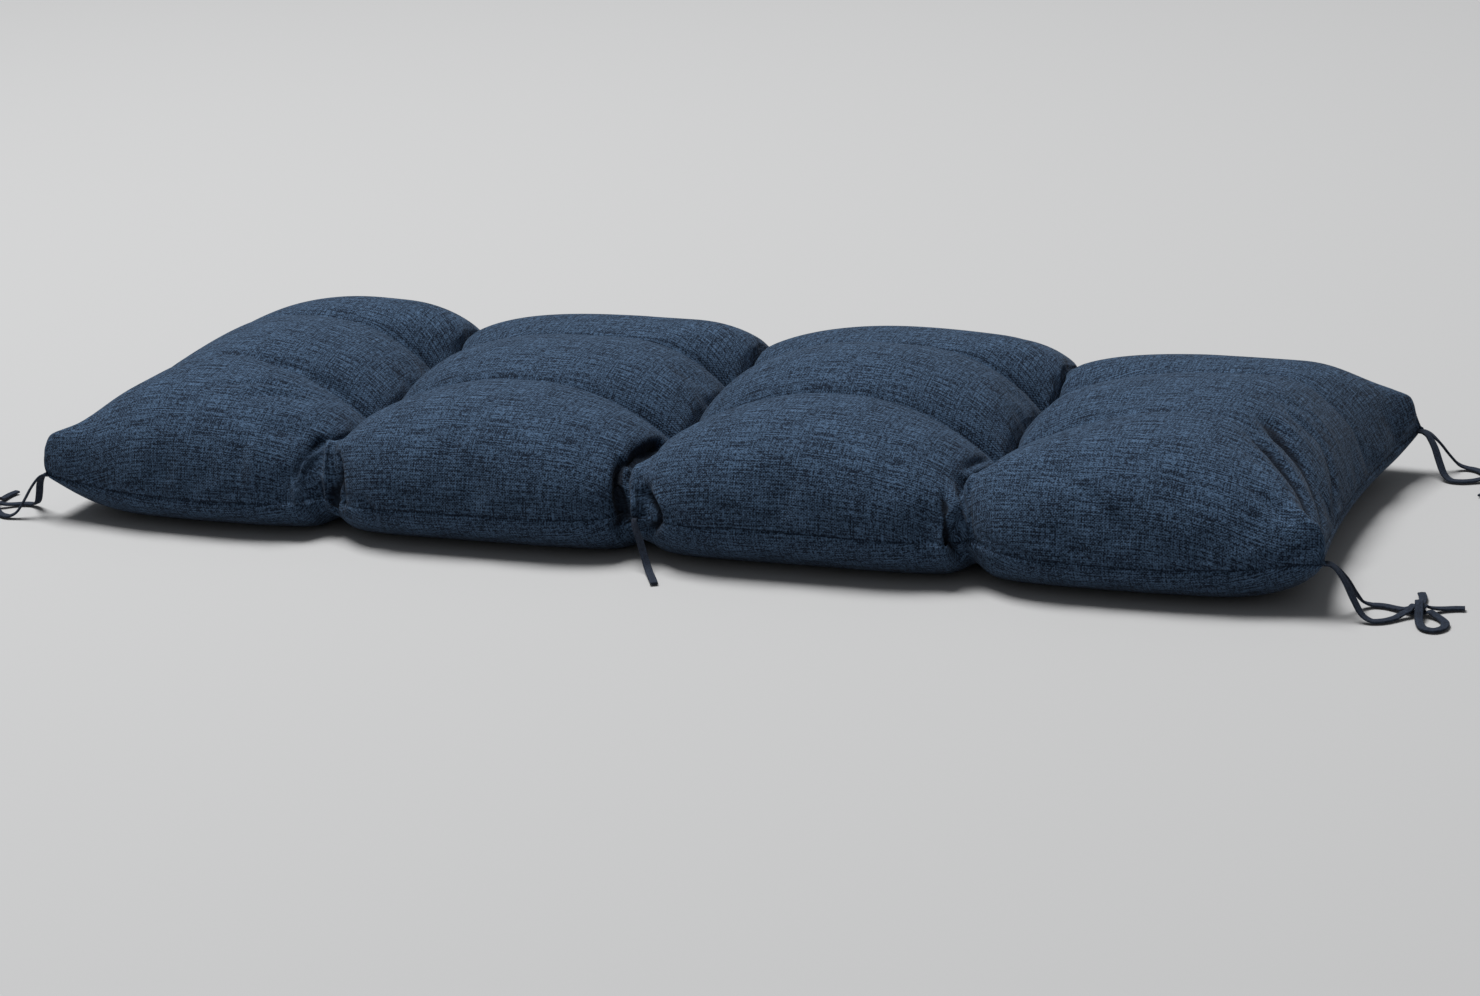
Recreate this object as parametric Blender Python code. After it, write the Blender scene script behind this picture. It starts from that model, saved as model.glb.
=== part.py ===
"""A long stuffed seat cushion with tied corners.

Two panels of cloth, one above and one below, are sewn together round their edges and filled.
Six tufts through the pad, on three lines across it, draw the filling into four columns of three
puffs. The pad lies on its underside, which is flat where it touches. A pair of narrow ties is sewn
into each corner and knotted in a half bow, and one more tie hangs from the middle of the front.

Frame: metres, X along the pad, Y from its front edge to its back edge, Z up. The origin is on the
surface that the pad lies on, under the middle of the pad.
"""
import bmesh
import bpy
import numpy as np

# ---------------------------------------------------------------- driving sizes
LENGTH = 1.450          # from corner tip to corner tip, filled
DEPTH = 0.492           # from the front edge to the back edge, filled
NAVY = (0.026, 0.041, 0.067, 1.0)
TIE_NAVY = (0.016, 0.024, 0.042, 1.0)

# lines of tufts that part the columns, and the two rows of tufts, as places on X and on Y
TUFT_LINES = (-0.376, -0.011, 0.352)
TUFT_ROWS = (-0.076, 0.088)

# the middle of each column on X, the height of the closing seam there, and the crown of its puffs
COLUMNS = (
    # middle, seam, front crown, middle crown, back crown
    (-0.550, 0.040, 0.148, 0.164, 0.162),
    (-0.190, 0.047, 0.149, 0.161, 0.153),
    (0.170, 0.054, 0.153, 0.174, 0.157),
    (0.530, 0.042, 0.147, 0.151, 0.139),
)
ROW_MIDDLES = (-0.160, 0.005, 0.167)

# how the filled cloth moves each corner of the outline, and the blunt nose of cloth that stands
# above the sewn corner
CORNERS = (
    # side on X, side on Y, move on X, move on Y, move on Z, nose
    (-1, -1, 0.000, 0.022, 0.010, 0.036),
    (1, -1, -0.004, 0.022, 0.012, 0.030),
    (1, 1, 0.000, -0.006, 0.004, 0.026),
    (-1, 1, 0.022, -0.024, 0.000, 0.026),
)
CORNER_REACH = 0.085
CORNER_POWER = 1.5
NOSE_REACH = 0.045
NOSE_RISE = 0.012       # how far from the seam the nose reaches its height
LEFT_INSET = 0.012      # how far the left and the right side are drawn in between the corners
RIGHT_INSET = 0.026
BELLY = 4               # the power that keeps a pull at an edge close to that edge

# pleats where the front edge is gathered at a line of tufts
PLEATS = (
    # line, offset on X, half width, how far it stands out of the gather
    (0, -0.024, 0.008, 0.012),
    (0, 0.002, 0.006, 0.012),
    (1, 0.003, 0.007, 0.018),
    (2, -0.014, 0.011, 0.018),
)
FRONT_GATHER = 0.040    # how far a line of tufts draws in the front edge, and the back edge
BACK_GATHER = 0.016
GATHER_WIDTH = 0.030
GATHER_POWER = 1.2

# how far from the line of tufts at its left and at its right a puff reaches its crown, and how far
# from the left and the right end of the pad, in the front, middle and back row
LEFT_SIDES = (0.175, 0.175, 0.180)
RIGHT_SIDES = (0.175, 0.160, 0.085)
LEFT_ROUNDS = (0.150, 0.215, 0.230)
RIGHT_ROUNDS = (0.190, 0.150, 0.110)
PUFF_FRONT = 0.078      # how far from a row of tufts it does, and from the front and back edges
EDGE_ROUND = 0.110
SIDE_POWER = 2.1        # powers above 2 make the rounding of the sides and of the edges boxier
EDGE_POWER = 2.2
VALLEY = 0.045          # height of the cloth at a tuft, and how much higher it is beside each row
VALLEY_RISES = (0.035, 0.035, 0.062)
CREASE_AT_LINE = 0.30   # how much of the crown a crease between rows takes beside a line of tufts
# and how much it takes in the middle of each column: the front crease and the back crease
CREASES = (
    (0.035, 0.090),
    (0.110, 0.120),
    (0.130, 0.120),
    (0.030, 0.080),
)

UNDER_END = 0.110       # how far under the pad the flat underside begins, from the ends and edges
UNDER_EDGE = 0.067
UNDER_POWER = 1.9
LOWEST = 1e-4           # an underside point lower than this lies on the surface
GROOVE = 0.004          # the groove under a line of tufts, deeper at the edges and at the tufts
GROOVE_AT_EDGE = 0.018
GROOVE_AT_TUFT = 0.008
GROOVE_WIDTH = 0.016
TUFT_REACH = 0.030

CELLS_ACROSS = 18       # cells of the mesh across a column, and across each row of puffs
CELLS_IN_ROW = (12, 10, 12)
BUNCHING = 0.8          # 1 bunches the mesh lines most towards the seams, 0 spreads them evenly
SAME_PLACE = 1e-6       # mesh points closer than this are one
SAME_PLANE = 1e-4       # faces that turn less than this, in radians, are one

TIE_THICKNESS = 0.005   # of the narrow folded strip, rounded into a tube
TIE_GAP = 0.0004        # clearance between a tie and the seam it is sewn into
TIE_LYING = 0.0027      # height of the middle of a tie that lies on the surface
TIE_STEPS = 2           # points of the tube for each step of its route
TIE_ROUNDING = 2

ROUGHNESS = 0.9         # of the matt cloth

# The ties of each corner: side on X and Y, and the way that the loop lies, -1 forwards and 1 back.
# They are sewn into the end seam close to the corner and leave it squarely.
TIE_SEAT = 0.0066       # from the corner, along the end seam, to the middle between the two ties
CORNER_TIES = (
    # name, side x, side y, loop side, stretch of the loop and the free ends
    ("front_left", -1, -1, -1, 1.00),
    ("front_right", 1, -1, -1, 1.06),
    ("back_right", 1, 1, 1, 1.12),
    ("back_left", -1, 1, 1, 0.94),
)

# Routes of the two ties of a corner. Out is away from the pad and across is towards the loop.
# Lift is the share of the corner's height that a point still hangs at, and rest is the height of
# the strip where it lies. The two ties wind once about each other, and that is the knot.
BOW_ROUTE = (
    # out, across, lift, rest
    (0.0000, 0.0028, 1.00, 0.0027),
    (0.0050, 0.0028, 0.99, 0.0027),
    (0.0120, 0.0040, 0.90, 0.0027),
    (0.0200, 0.0080, 0.68, 0.0027),
    (0.0280, 0.0140, 0.36, 0.0027),
    (0.0360, 0.0190, 0.10, 0.0027),
    (0.0460, 0.0220, 0.00, 0.0027),
    (0.0570, 0.0200, 0.00, 0.0027),
    (0.0670, 0.0140, 0.00, 0.0032),
    (0.0740, 0.0082, 0.00, 0.0052),
    (0.0800, 0.0042, 0.00, 0.0072),
    (0.0850, 0.0000, 0.00, 0.0107),
    (0.0900, -0.0041, 0.00, 0.0067),
    (0.0950, 0.0000, 0.00, 0.0028),
    (0.1000, 0.0042, 0.00, 0.0060),
    (0.1055, 0.0092, 0.00, 0.0040),
    (0.1110, 0.0165, 0.00, 0.0028),
    (0.1145, 0.0270, 0.00, 0.0027),
    (0.1120, 0.0380, 0.00, 0.0027),
    (0.1035, 0.0440, 0.00, 0.0027),
    (0.0945, 0.0400, 0.00, 0.0027),
    (0.0905, 0.0300, 0.00, 0.0027),
    (0.0895, 0.0205, 0.00, 0.0045),
    (0.0898, 0.0110, 0.00, 0.0105),
    (0.0900, 0.0000, 0.00, 0.0148),
    (0.0902, -0.0110, 0.00, 0.0105),
    (0.0912, -0.0205, 0.00, 0.0045),
    (0.0935, -0.0310, 0.00, 0.0027),
    (0.0945, -0.0420, 0.00, 0.0027),
    (0.0930, -0.0530, 0.00, 0.0027),
)
END_ROUTE = (
    # out, across, lift, rest
    (0.0000, -0.0028, 1.00, 0.0027),
    (0.0050, -0.0028, 0.99, 0.0027),
    (0.0120, -0.0040, 0.90, 0.0027),
    (0.0200, -0.0080, 0.68, 0.0027),
    (0.0280, -0.0140, 0.36, 0.0027),
    (0.0360, -0.0190, 0.10, 0.0027),
    (0.0460, -0.0220, 0.00, 0.0027),
    (0.0570, -0.0200, 0.00, 0.0027),
    (0.0670, -0.0140, 0.00, 0.0029),
    (0.0740, -0.0082, 0.00, 0.0040),
    (0.0800, -0.0042, 0.00, 0.0060),
    (0.0850, 0.0000, 0.00, 0.0028),
    (0.0900, 0.0041, 0.00, 0.0067),
    (0.0950, 0.0000, 0.00, 0.0107),
    (0.1000, -0.0042, 0.00, 0.0072),
    (0.1060, -0.0085, 0.00, 0.0045),
    (0.1140, -0.0120, 0.00, 0.0030),
    (0.1240, -0.0140, 0.00, 0.0027),
    (0.1340, -0.0140, 0.00, 0.0027),
)
STRETCH_FROM = 0.015    # only what lies further across than this is stretched

# The tie at the middle of the front: its line of tufts, where the pleat beside that line holds it,
# and its route from there as moves on X and Y, with the share of the seam's height that is left.
FRONT_TIE_LINE = 1
FRONT_TIE_SEAT = 0.0062
FRONT_TIE_ROUTE = (
    # move on x, move on y, lift, rest
    (0.0000, 0.0000, 1.00, 0.0027),
    (0.0000, -0.0040, 0.99, 0.0027),
    (0.0010, -0.0070, 0.84, 0.0027),
    (0.0030, -0.0100, 0.62, 0.0027),
    (0.0055, -0.0150, 0.33, 0.0027),
    (0.0085, -0.0220, 0.09, 0.0027),
    (0.0125, -0.0320, 0.00, 0.0027),
    (0.0170, -0.0430, 0.00, 0.0027),
    (0.0210, -0.0540, 0.00, 0.0027),
    (0.0235, -0.0650, 0.00, 0.0027),
)

# ---------------------------------------------------------------- small formulas


def fill(distance, reach, power=2.0):
    """The round side of a pillow: 0 at a seam, 1 at `reach` and beyond, steepest at the seam."""
    left = 1 - np.clip(distance / reach, 0, 1)
    return (1 - left ** power) ** (1 / power)


def bump(distance, width, power=2.0):
    """A smooth hump: 1 at distance 0, falling towards 0 past `width`."""
    return np.exp(-(np.abs(distance) / width) ** power)


def nearest(values, lines):
    """The distance from each value to the nearest of the lines."""
    return np.min(np.abs(values[:, None] - np.array(lines)), axis=1)


def between(values, places, amounts):
    """Amounts given at some places, joined by smooth steps. Amounts may differ from value to value."""
    steps = np.clip(np.interp(values, places, np.arange(len(places))), 0, len(places) - 1.001)
    low = steps.astype(int)
    part = steps - low
    part = part * part * (3 - 2 * part)
    amounts = np.broadcast_to(amounts, (len(values), len(places)))
    rows = np.arange(len(values))
    return amounts[rows, low] * (1 - part) + amounts[rows, low + 1] * part


# ---------------------------------------------------------------- the shape of the filled pad


def corner_pull(a, b, side_x, side_y):
    """How strongly a corner's move acts at the panel point (a, b)."""
    from_end = bump(LENGTH / 2 - side_x * a, CORNER_REACH, CORNER_POWER)
    from_edge = bump(DEPTH / 2 - side_y * b, CORNER_REACH, CORNER_POWER)
    return from_end * from_edge


def outline(a, b):
    """Where the panel point (a, b) lies in plan, with the sides, gathers and corners drawn in."""
    u = a / (LENGTH / 2)
    v = b / (DEPTH / 2)
    from_line = nearest(a, TUFT_LINES)
    gather = np.where(b < 0, FRONT_GATHER, BACK_GATHER) * bump(from_line, GATHER_WIDTH, GATHER_POWER)
    for line, offset, half_width, proud in PLEATS:
        gather = gather - np.where(b < 0, proud, 0) * bump(a - TUFT_LINES[line] - offset, half_width)
    inset = np.where(a < 0, LEFT_INSET, RIGHT_INSET) * (1 - v ** 2) * np.abs(u) ** (2 * BELLY)
    x = a - np.sign(a) * inset
    y = b - np.sign(b) * gather * np.abs(v) ** BELLY
    for side_x, side_y, move_x, move_y, _, _ in CORNERS:
        pull = corner_pull(a, b, side_x, side_y)
        x = x + move_x * pull
        y = y + move_y * pull
    return x, y


def seam_height(a, b):
    """The height of the closing seam, carried over the whole panel."""
    z = between(a, [row[0] for row in COLUMNS], [row[1] for row in COLUMNS])
    for side_x, side_y, _, _, move_z, _ in CORNERS:
        z = z + move_z * corner_pull(a, b, side_x, side_y)
    return z


def column_fill(a, b):
    """How far a puff has risen, 0 on a line of tufts and 1 in mid column."""
    past = a[:, None] - np.array(TUFT_LINES)
    from_left = np.min(np.where(past >= 0, past, LENGTH), axis=1)
    from_right = np.min(np.where(past < 0, -past, LENGTH), axis=1)
    left = fill(from_left, between(b, ROW_MIDDLES, LEFT_SIDES), SIDE_POWER)
    right = fill(from_right, between(b, ROW_MIDDLES, RIGHT_SIDES), SIDE_POWER)
    return np.minimum(left, right)


def crease_depth(a, b):
    """How much of the crown the nearer crease takes away in mid column."""
    middles = [row[0] for row in COLUMNS]
    front = between(a, middles, [row[0] for row in CREASES])
    back = between(a, middles, [row[1] for row in CREASES])
    return between(b, TUFT_ROWS, np.stack([front, back], axis=1))


def crown_height(a, b):
    """The crown of the puffs, blended from one puff to the next."""
    middles = [row[0] for row in COLUMNS]
    in_rows = [between(a, middles, [row[2 + k] for row in COLUMNS]) for k in range(len(ROW_MIDDLES))]
    return between(b, ROW_MIDDLES, np.stack(in_rows, axis=1))


def nose_height(a, b):
    """The extra height of the upper panel at the blunt noses above the sewn corners."""
    from_end = LENGTH / 2 - np.abs(a)
    from_edge = DEPTH / 2 - np.abs(b)
    noses = 0.0
    for side_x, side_y, _, _, _, nose in CORNERS:
        at_corner = (side_x * a > 0) & (side_y * b > 0)
        noses = noses + np.where(at_corner, nose, 0.0)
    reach = bump(np.hypot(from_end, from_edge), NOSE_REACH)
    return noses * reach * fill(np.minimum(from_end, from_edge), NOSE_RISE)


def top_point(a, b):
    """The upper panel: puffs that rise from the valleys, the row creases and the closing seam."""
    x, y = outline(a, b)
    from_end = LENGTH / 2 - np.abs(a)
    from_edge = DEPTH / 2 - np.abs(b)
    end_round = between(b, ROW_MIDDLES, np.where(a[:, None] < 0, LEFT_ROUNDS, RIGHT_ROUNDS))
    column = column_fill(a, b)
    row = fill(nearest(b, TUFT_ROWS), PUFF_FRONT)
    near_end = np.clip(from_end / end_round, 0, 1)
    crease = (crease_depth(a, b) * near_end + CREASE_AT_LINE * (1 - column)) * (1 - row)
    floor = VALLEY + between(b, ROW_MIDDLES, VALLEY_RISES) * row
    height = floor + (crown_height(a, b) * (1 - crease) - floor) * column
    edge = fill(from_end, end_round) * fill(from_edge, EDGE_ROUND, EDGE_POWER)
    seam = seam_height(a, b)
    return np.stack([x, y, seam + (height - seam) * edge + nose_height(a, b)], axis=1)


def under_point(a, b):
    """The lower panel: flat on the surface, up to the seam at the rim, grooved under the tufts."""
    x, y = outline(a, b)
    from_end = LENGTH / 2 - np.abs(a)
    from_edge = DEPTH / 2 - np.abs(b)
    flat = fill(from_end, UNDER_END) * fill(from_edge, UNDER_EDGE, UNDER_POWER)
    groove = GROOVE + GROOVE_AT_EDGE * np.abs(b / (DEPTH / 2)) ** BELLY
    groove = groove + GROOVE_AT_TUFT * bump(nearest(b, TUFT_ROWS), TUFT_REACH)
    z = seam_height(a, b) * (1 - flat) + groove * bump(nearest(a, TUFT_LINES), GROOVE_WIDTH) * flat
    return np.stack([x, y, np.where(z < LOWEST, 0.0, z)], axis=1)


# ---------------------------------------------------------------- meshes and curves


def spread(lines, cells):
    """Mesh lines between the given seams, bunched towards each of them."""
    places = [lines[0]]
    for start, end, count in zip(lines[:-1], lines[1:], cells):
        t = np.arange(1, count + 1) / count
        t = BUNCHING * (1 - np.cos(np.pi * t)) / 2 + (1 - BUNCHING) * t
        places.extend(start + (end - start) * t)
    return np.array(places)


def finish_material(name, colour):
    """A plain woven finish."""
    material = bpy.data.materials.new(name)
    material.use_nodes = True
    shader = material.node_tree.nodes["Principled BSDF"]
    shader.inputs["Base Color"].default_value = colour
    shader.inputs["Roughness"].default_value = ROUGHNESS
    shader.inputs["Metallic"].default_value = 0.0
    return material


def add_panel(mesh, columns, rows, point_of, upward):
    """One panel as a grid whose points are moved to their places on the filled pad."""
    made = bmesh.ops.create_grid(mesh, x_segments=len(columns) - 1, y_segments=len(rows) - 1, size=1.0)
    points = made["verts"]
    flat = np.array([point.co[:2] for point in points])
    i = np.rint((flat[:, 0] + 1) / 2 * (len(columns) - 1)).astype(int)
    j = np.rint((flat[:, 1] + 1) / 2 * (len(rows) - 1)).astype(int)
    for point, place in zip(points, point_of(columns[i], rows[j])):
        point.co = place
    if not upward:
        faces = {face for point in points for face in point.link_faces}
        bmesh.ops.reverse_faces(mesh, faces=list(faces))


def build_cushion():
    """The filled pad as one closed body, its two panels welded along the closing seam."""
    columns = spread((-LENGTH / 2, *TUFT_LINES, LENGTH / 2), [CELLS_ACROSS] * 4)
    rows = spread((-DEPTH / 2, *TUFT_ROWS, DEPTH / 2), CELLS_IN_ROW)
    mesh = bmesh.new()
    add_panel(mesh, columns, rows, top_point, upward=True)
    add_panel(mesh, columns, rows, under_point, upward=False)
    bmesh.ops.remove_doubles(mesh, verts=mesh.verts, dist=SAME_PLACE)
    lying = {point for point in mesh.verts if point.co.z < SAME_PLACE}
    flat_edges = [edge for edge in mesh.edges if all(point in lying for point in edge.verts)]
    bmesh.ops.dissolve_limit(mesh, angle_limit=SAME_PLANE, verts=list(lying), edges=flat_edges)
    data = bpy.data.meshes.new("cushion")
    mesh.to_mesh(data)
    mesh.free()
    data.shade_smooth()
    data.materials.append(finish_material("navy_weave", NAVY))
    cushion = bpy.data.objects.new("cushion", data)
    bpy.context.collection.objects.link(cushion)


def smooth_path(route):
    """A smooth curve through the route's points, each span bent by the points beside it."""
    ends = np.concatenate([2 * route[:1] - route[1:2], route, 2 * route[-1:] - route[-2:-1]])
    before, start, end, after = ends[:-3], ends[1:-2], ends[2:-1], ends[3:]
    spans = []
    for t in np.arange(TIE_STEPS) / TIE_STEPS:
        spans.append(0.5 * (2 * start + (end - before) * t
                            + (2 * before - 5 * start + 4 * end - after) * t ** 2
                            + (3 * start - 3 * end + after - before) * t ** 3))
    path = np.concatenate([np.stack(spans, axis=1).reshape(-1, 3), route[-1:]])
    path[:, 2] = np.maximum(path[:, 2], TIE_LYING)
    return path


def build_tie(name, route, material):
    """One tie as a plain tube with closed ends."""
    path = smooth_path(route)
    data = bpy.data.curves.new(name, "CURVE")
    data.dimensions = "3D"
    data.render_resolution_u = 0
    data.bevel_depth = TIE_THICKNESS / 2
    data.bevel_resolution = TIE_ROUNDING
    data.use_fill_caps = True
    spline = data.splines.new("POLY")
    spline.points.add(len(path) - 1)
    for point, place in zip(spline.points, path):
        point.co = (*place, 1.0)
    data.materials.append(material)
    bpy.context.collection.objects.link(bpy.data.objects.new(name, data))


def corner_route(table, side_x, side_y, loop_side, stretch):
    """A corner tie's route, squarely away from the end seam and down to the surface."""
    out, across, lift, rest = np.array(table).T
    spare = np.clip(np.abs(across) - STRETCH_FROM, 0, None)
    across = loop_side * (across + np.sign(across) * spare * (stretch - 1))
    reach = np.array([0.0, 2 * TIE_SEAT])
    corner, along = under_point(np.full(2, side_x * LENGTH / 2), side_y * (DEPTH / 2 - reach))
    seat = (corner + along) / 2
    back = (along - corner)[:2] * -side_y
    back = back / np.hypot(*back)
    away = side_x * np.array([back[1], -back[0]])
    plan = seat[:2] + (out[:, None] + TIE_GAP) * away + across[:, None] * back
    return np.column_stack([plan, rest + lift * (seat[2] - rest)])


def front_route():
    """The middle tie's route, from the gathered seam down to the surface and forwards."""
    move_x, move_y, lift, rest = np.array(FRONT_TIE_ROUTE).T
    line = np.array([TUFT_LINES[FRONT_TIE_LINE] + FRONT_TIE_SEAT])
    seat = under_point(line, np.array([-DEPTH / 2]))[0]
    y = seat[1] - TIE_GAP + move_y
    return np.stack([seat[0] + move_x, y, rest + lift * (seat[2] - rest)], axis=1)


def build_ties():
    """The pair of ties at each corner and the one at the middle of the front."""
    material = finish_material("tie_weave", TIE_NAVY)
    for name, *place in CORNER_TIES:
        build_tie("tie_" + name + "_bow", corner_route(BOW_ROUTE, *place), material)
        build_tie("tie_" + name + "_end", corner_route(END_ROUTE, *place), material)
    build_tie("tie_front_middle", front_route(), material)


def main():
    """Clear the scene and build every piece."""
    for existing in list(bpy.data.objects):
        bpy.data.objects.remove(existing)
    build_cushion()
    build_ties()


main()
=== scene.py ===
# %% [markdown]
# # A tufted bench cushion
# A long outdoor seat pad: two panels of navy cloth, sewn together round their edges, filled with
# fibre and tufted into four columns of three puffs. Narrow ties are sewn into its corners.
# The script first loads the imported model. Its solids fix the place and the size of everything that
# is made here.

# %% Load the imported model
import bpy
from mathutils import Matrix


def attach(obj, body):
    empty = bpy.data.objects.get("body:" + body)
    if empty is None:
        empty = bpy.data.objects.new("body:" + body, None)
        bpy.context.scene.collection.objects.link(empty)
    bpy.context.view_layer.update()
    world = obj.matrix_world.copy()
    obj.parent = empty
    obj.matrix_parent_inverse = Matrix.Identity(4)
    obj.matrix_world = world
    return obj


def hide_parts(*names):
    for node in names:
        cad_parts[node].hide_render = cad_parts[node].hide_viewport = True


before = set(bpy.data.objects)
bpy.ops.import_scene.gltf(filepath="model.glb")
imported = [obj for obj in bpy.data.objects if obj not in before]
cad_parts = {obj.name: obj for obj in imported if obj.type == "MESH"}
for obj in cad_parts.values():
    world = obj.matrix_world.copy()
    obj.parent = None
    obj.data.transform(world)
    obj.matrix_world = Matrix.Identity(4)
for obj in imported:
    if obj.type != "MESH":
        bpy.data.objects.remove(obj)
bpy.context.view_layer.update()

import math

import bpy
import numpy as np
from mathutils import Matrix, Vector

scene = bpy.context.scene
print("solids:", ", ".join(sorted(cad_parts)))

# %% [markdown]
# ## Camera
# A long lens looks at the pad from the front and a little from its right, from above. The turn, the
# dip and the lean are the angles of the view, and a matrix built from the three directions right,
# up and back sets the camera exactly, where aiming it at a point would leave the lean out.

# %% Camera
CAMERA_PLACE = (1.4354, -3.3860, 1.2338)
TURN, DIP, LEAN = (math.radians(angle) for angle in (22.68, 18.588, -3.588))
LENS_MM, SENSOR_MM = 85.53, 36.0

forward = Vector((-math.sin(TURN) * math.cos(DIP), math.cos(TURN) * math.cos(DIP), -math.sin(DIP)))
level_right = Vector((math.cos(TURN), math.sin(TURN), 0.0))
level_up = level_right.cross(forward)
right = math.cos(LEAN) * level_right + math.sin(LEAN) * level_up
up = math.cos(LEAN) * level_up - math.sin(LEAN) * level_right

camera = bpy.data.objects.new("camera", bpy.data.cameras.new("camera"))
scene.collection.objects.link(camera)
camera.data.sensor_width, camera.data.lens = SENSOR_MM, LENS_MM
turned = Matrix((right, up, -forward)).transposed().to_4x4()
camera.matrix_world = Matrix.Translation(CAMERA_PLACE) @ turned
scene.camera = camera
print("camera at", CAMERA_PLACE, "with a lens of", LENS_MM, "mm")

# %% [markdown]
# ## Sizes of the filled pad
# The pad is a pillow form: a flat panel point (a, b) is lifted from the closing seam to the crown of
# its puff. These are the sizes of the solid, so the dressed pad fills the same space. Sculpting
# would give the same form once, but a formula can be measured, corrected and made again.

# %% Sizes of the pad
LENGTH, DEPTH = 1.450, 0.492
TUFT_LINES = (-0.376, -0.011, 0.352)  # across the pad, these part the columns
TUFT_ROWS = (-0.076, 0.088)  # along the pad, these part the rows
COLUMNS = (
    # middle, height of the seam, crowns of the front, middle and back puff
    (-0.550, 0.040, 0.148, 0.164, 0.162),
    (-0.190, 0.047, 0.149, 0.161, 0.153),
    (0.170, 0.054, 0.153, 0.174, 0.157),
    (0.530, 0.042, 0.147, 0.151, 0.139),
)
COLUMN_MIDDLES = [row[0] for row in COLUMNS]
ROW_MIDDLES = (-0.160, 0.005, 0.167)
print(f"{len(COLUMNS)} columns of {len(ROW_MIDDLES)} puffs on a panel of {LENGTH} by {DEPTH} m")

# %% [markdown]
# ### Small formulas
# A pillow's side is a quarter of a rounded square in section: steep at the seam, level at the
# crown. Humps with soft feet blend the corners, the gathers and the pleats. A drawn curve would do
# for one section, but a formula bends a whole panel at once.

# %% Rounding, humps and blending
LAST_SPAN = 1.001  # a little over one, so that the last value stays inside the last span


def fill(distance, reach, power=2.0):
    """The round side of a pillow, (1 - (1 - distance / reach)^power)^(1 / power)."""
    left = 1 - np.clip(distance / reach, 0, 1)
    return (1 - left ** power) ** (1 / power)


def bump(distance, width, power=2.0):
    """A smooth hump, e^-(distance / width)^power."""
    return np.exp(-(np.abs(distance) / width) ** power)


def nearest(values, lines):
    """The distance from each value to the nearest of the lines."""
    return np.min(np.abs(values[:, None] - np.array(lines)), axis=1)


def between(values, places, amounts):
    """Amounts given at some places, joined by the smooth step 3t^2 - 2t^3."""
    steps = np.clip(np.interp(values, places, np.arange(len(places))), 0, len(places) - LAST_SPAN)
    low = steps.astype(int)
    part = steps - low
    part = part * part * (3 - 2 * part)
    amounts = np.broadcast_to(amounts, (len(values), len(places)))
    rows = np.arange(len(values))
    return amounts[rows, low] * (1 - part) + amounts[rows, low + 1] * part

# %% Plan of the pad
CORNERS = (
    # side on X, side on Y, move on X, move on Y, move on Z, height of the blunt nose above
    (-1, -1, 0.000, 0.022, 0.010, 0.036),
    (1, -1, -0.004, 0.022, 0.012, 0.030),
    (1, 1, 0.000, -0.006, 0.004, 0.026),
    (-1, 1, 0.022, -0.024, 0.000, 0.026),
)
CORNER_REACH, CORNER_POWER = 0.085, 1.5
LEFT_INSET, RIGHT_INSET = 0.012, 0.026  # how far the ends draw in at mid depth
BELLY = 4  # the edges draw in by this power of the distance from the middle
PLEATS = (
    # line of tufts, offset on X, half width, how far it stands out of the gather
    (0, -0.024, 0.008, 0.012),
    (0, 0.002, 0.006, 0.012),
    (1, 0.003, 0.007, 0.018),
    (2, -0.014, 0.011, 0.018),
)
FRONT_GATHER, BACK_GATHER, GATHER_WIDTH, GATHER_POWER = 0.040, 0.016, 0.030, 1.2


def corner_pull(a, b, side_x, side_y):
    """How strongly a corner's move acts: a hump on X times a hump on Y."""
    from_end = bump(LENGTH / 2 - side_x * a, CORNER_REACH, CORNER_POWER)
    from_edge = bump(DEPTH / 2 - side_y * b, CORNER_REACH, CORNER_POWER)
    return from_end * from_edge


def outline(a, b):
    """Where a panel point lies in plan, with the sides, the gathers and the corners drawn in."""
    u, v = a / (LENGTH / 2), b / (DEPTH / 2)
    from_line = nearest(a, TUFT_LINES)
    gather = np.where(b < 0, FRONT_GATHER, BACK_GATHER)
    gather = gather * bump(from_line, GATHER_WIDTH, GATHER_POWER)
    for line, offset, half_width, proud in PLEATS:
        gather = gather - np.where(b < 0, proud, 0) * bump(a - TUFT_LINES[line] - offset, half_width)
    inset = np.where(a < 0, LEFT_INSET, RIGHT_INSET) * (1 - v ** 2) * np.abs(u) ** (2 * BELLY)
    x = a - np.sign(a) * inset
    y = b - np.sign(b) * gather * np.abs(v) ** BELLY
    for side_x, side_y, move_x, move_y, _, _ in CORNERS:
        pull = corner_pull(a, b, side_x, side_y)
        x, y = x + move_x * pull, y + move_y * pull
    return x, y


def to_rim(a, b):
    """The distances from a panel point to the nearer end and to the nearer edge."""
    return LENGTH / 2 - np.abs(a), DEPTH / 2 - np.abs(b)


def seam_height(a, b):
    """The height of the closing seam, carried over the whole panel."""
    z = between(a, COLUMN_MIDDLES, [row[1] for row in COLUMNS])
    for side_x, side_y, _, _, move_z, _ in CORNERS:
        z = z + move_z * corner_pull(a, b, side_x, side_y)
    return z


tip_x, tip_y = outline(np.array([-LENGTH / 2]), np.array([-DEPTH / 2]))
print(f"the front left corner's tip is at {tip_x[0]:.3f}, {tip_y[0]:.3f} m")

# %% Valleys that swing aside
SWINGS = (
    # how far a valley swings to the left, where that is from front to back, and over what half width
    (-0.036, -0.224, 0.030),
    (-0.010, -0.210, 0.030),
    (-0.013, -0.186, 0.026),
)
SWING_REACH = 0.060


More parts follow.
